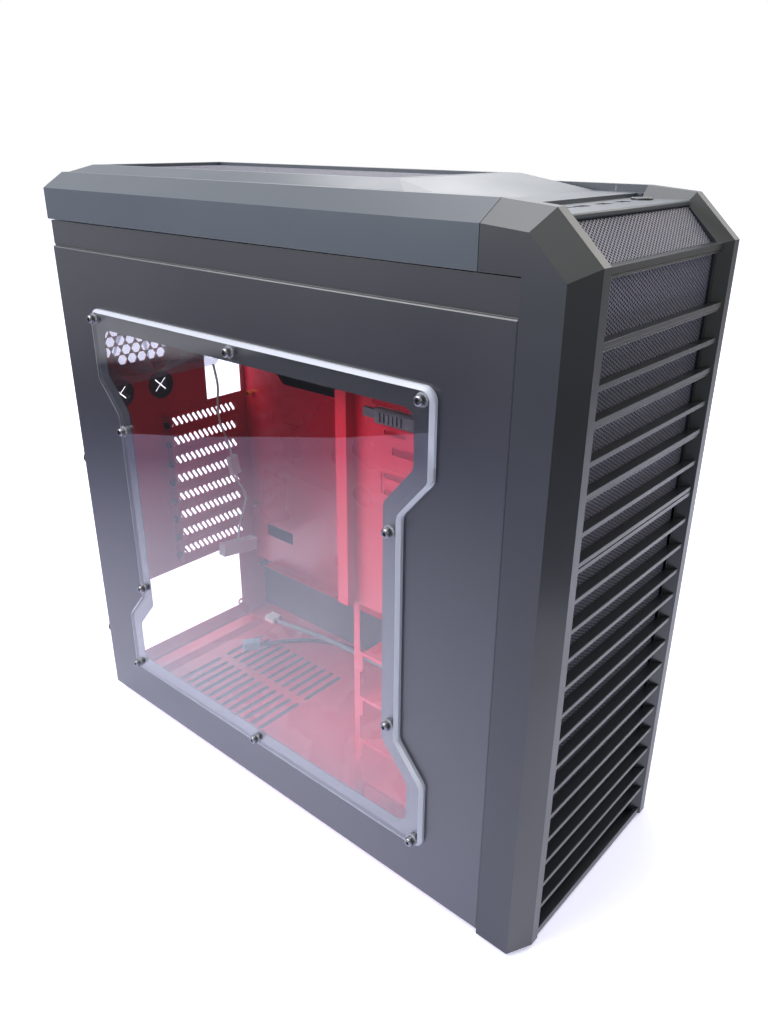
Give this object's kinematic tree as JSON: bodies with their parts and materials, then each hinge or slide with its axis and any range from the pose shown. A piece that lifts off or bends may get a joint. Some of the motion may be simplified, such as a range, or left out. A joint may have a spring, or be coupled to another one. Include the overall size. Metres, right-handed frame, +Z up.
{
  "type": "desktop computer tower",
  "caption": "Empty windowed desktop computer tower with louvred front, mesh covers, removable panels, drive cages, fans and leads.",
  "frame": {"origin": "middle of the whole tower's footprint, on the ground under the feet", "axes": "+X from the windowed left side to the right, +Y from the front to the back, +Z up"},
  "size_m": [0.2232, 0.5018, 0.5035],
  "materials": {
    "red_steel": "satin",
    "dark_red_steel": "satin",
    "black_steel": "satin",
    "black_moulding": "satin",
    "black_mesh": "satin",
    "clear_acrylic": "gloss",
    "black_zinc": "gloss",
    "nylon": "satin",
    "zinc_steel": "satin",
    "brass": "satin",
    "rubber": "matte",
    "fan_housing": "satin",
    "smoked_plastic": "gloss",
    "fan_rotor": "gloss",
    "grey_plastic": "satin",
    "black_plastic": "satin",
    "circuit_board": "gloss",
    "plated_steel": "gloss",
    "pale_lead": "satin",
    "black_lead": "satin",
    "milky_nylon": "satin",
    "blue_plastic": "satin"
  },
  "bodies": {
    "chassis": {"adaptor_lead": "pale_lead", "adaptor_plug": "milky_nylon", "bay_cage_left": "red_steel", "bay_cage_right": "red_steel", "chassis_screws": "zinc_steel", "drive_cage": "red_steel", "feet": "rubber", "floor_pan": "red_steel", "front_fan_frame": "fan_housing", "front_frame": "red_steel", "hose_grommets": "rubber", "motherboard_tray": "red_steel", "port_board": "circuit_board", "port_carrier": "black_plastic", "port_lead": "black_lead", "port_lead_plug": "blue_plastic", "port_sockets": "plated_steel", "rear_fan_connector": "milky_nylon", "rear_fan_frame": "fan_housing", "rear_fan_lead": "pale_lead", "rear_panel": "red_steel", "roof_frame": "black_steel", "slot_covers": "dark_red_steel", "standoffs": "brass", "switch_lead_plugs": "milky_nylon", "switch_leads": "black_lead", "top_fan_frame": "fan_housing"},
    "left_panel": {"left_panel": "black_steel", "window_acrylic": "clear_acrylic", "window_screws": "black_zinc", "window_washers": "nylon", "window_nuts": "black_zinc"},
    "right_panel": {"right_panel": "black_steel"},
    "front_bezel": {"front_bezel": "black_moulding", "lower_grille": "black_moulding", "bezel_mesh": "black_mesh"},
    "top_cover": {"top_cover": "black_moulding", "top_mesh": "black_mesh"},
    "dust_filter": {"psu_dust_filter": "black_plastic"},
    "power_button": {"power_button": "black_plastic"},
    "reset_button": {"reset_button": "black_plastic"},
    "bay_cover_1": {"bay_cover_1": "black_moulding", "bay_mesh_1": "black_mesh"},
    "bay_cover_2": {"bay_cover_2": "black_moulding", "bay_mesh_2": "black_mesh"},
    "bay_cover_3": {"bay_cover_3": "black_moulding", "bay_mesh_3": "black_mesh"},
    "bay_cover_4": {"bay_cover_4": "black_moulding", "bay_mesh_4": "black_mesh"},
    "bay_latch_2": {"bay_latch_2": "grey_plastic"},
    "bay_latch_3": {"bay_latch_3": "grey_plastic"},
    "bay_latch_4": {"bay_latch_4": "grey_plastic"},
    "front_fan_rotor": {"front_fan_rotor": "fan_rotor"},
    "rear_fan_rotor": {"rear_fan_rotor": "smoked_plastic"},
    "thumbscrew_left_lower": {"thumbscrew_left_lower": "black_zinc"},
    "thumbscrew_left_upper": {"thumbscrew_left_upper": "black_zinc"},
    "thumbscrew_right_lower": {"thumbscrew_right_lower": "black_zinc"},
    "thumbscrew_right_upper": {"thumbscrew_right_upper": "black_zinc"},
    "top_fan_rotor": {"top_fan_rotor": "fan_rotor"}
  },
  "joints": [
    {"name": "left_panel_slide", "type": "slide", "parent": "chassis", "child": "left_panel", "axis": [0, 1, 0], "range_m": [0, 0.47]},
    {"name": "right_panel_slide", "type": "slide", "parent": "chassis", "child": "right_panel", "axis": [0, 1, 0], "range_m": [0, 0.47]},
    {"name": "front_bezel_pull", "type": "slide", "parent": "chassis", "child": "front_bezel", "axis": [0, -1, 0], "range_m": [0, 0.08]},
    {"name": "top_cover_lift", "type": "slide", "parent": "chassis", "child": "top_cover", "axis": [0, 0, 1], "range_m": [0, 0.06]},
    {"name": "dust_filter_slide", "type": "slide", "parent": "chassis", "child": "dust_filter", "axis": [0, 1, 0], "range_m": [0, 0.186]},
    {"name": "bay_cover_1_pull", "type": "slide", "parent": "front_bezel", "child": "bay_cover_1", "axis": [0, -1, 0], "range_m": [0, 0.06]},
    {"name": "bay_cover_2_pull", "type": "slide", "parent": "front_bezel", "child": "bay_cover_2", "axis": [0, -1, 0], "range_m": [0, 0.06]},
    {"name": "bay_cover_3_pull", "type": "slide", "parent": "front_bezel", "child": "bay_cover_3", "axis": [0, -1, 0], "range_m": [0, 0.06]},
    {"name": "bay_cover_4_pull", "type": "slide", "parent": "front_bezel", "child": "bay_cover_4", "axis": [0, -1, 0], "range_m": [0, 0.06]},
    {"name": "bay_latch_2_slide", "type": "slide", "parent": "chassis", "child": "bay_latch_2", "axis": [0, -1, 0], "range_m": [0, 0.0146]},
    {"name": "bay_latch_3_slide", "type": "slide", "parent": "chassis", "child": "bay_latch_3", "axis": [0, -1, 0], "range_m": [0, 0.0146]},
    {"name": "bay_latch_4_slide", "type": "slide", "parent": "chassis", "child": "bay_latch_4", "axis": [0, -1, 0], "range_m": [0, 0.0146]},
    {"name": "power_button_press", "type": "slide", "parent": "chassis", "child": "power_button", "axis": [0, 0, -1], "range_m": [0, 0.0015], "stiffness_N_per_m": 600, "springref_m": -0.0008},
    {"name": "reset_button_press", "type": "slide", "parent": "chassis", "child": "reset_button", "axis": [0, 0, -1], "range_m": [0, 0.0015], "stiffness_N_per_m": 600, "springref_m": -0.0008},
    {"name": "rear_fan_spin", "type": "hinge", "parent": "chassis", "child": "rear_fan_rotor", "pos_m": [-0.027, 0.2409, 0.39], "axis": [0, 1, 0], "continuous": true},
    {"name": "top_fan_spin", "type": "hinge", "parent": "chassis", "child": "top_fan_rotor", "pos_m": [0.00455, 0.1364, 0.462], "axis": [0, 0, 1], "continuous": true},
    {"name": "front_fan_spin", "type": "hinge", "parent": "chassis", "child": "front_fan_rotor", "pos_m": [0.00455, -0.1892, 0.108], "axis": [0, 1, 0], "continuous": true},
    {"name": "thumbscrew_left_lower_turn", "type": "hinge", "parent": "left_panel", "child": "thumbscrew_left_lower", "pos_m": [-0.09195, 0.2428, 0.066], "axis": [0, 1, 0], "continuous": true},
    {"name": "thumbscrew_left_upper_turn", "type": "hinge", "parent": "left_panel", "child": "thumbscrew_left_upper", "pos_m": [-0.09195, 0.2428, 0.25], "axis": [0, 1, 0], "continuous": true},
    {"name": "thumbscrew_right_lower_turn", "type": "hinge", "parent": "right_panel", "child": "thumbscrew_right_lower", "pos_m": [0.10105, 0.2428, 0.066], "axis": [0, 1, 0], "continuous": true},
    {"name": "thumbscrew_right_upper_turn", "type": "hinge", "parent": "right_panel", "child": "thumbscrew_right_upper", "pos_m": [0.10105, 0.2428, 0.25], "axis": [0, 1, 0], "continuous": true}
  ]
}
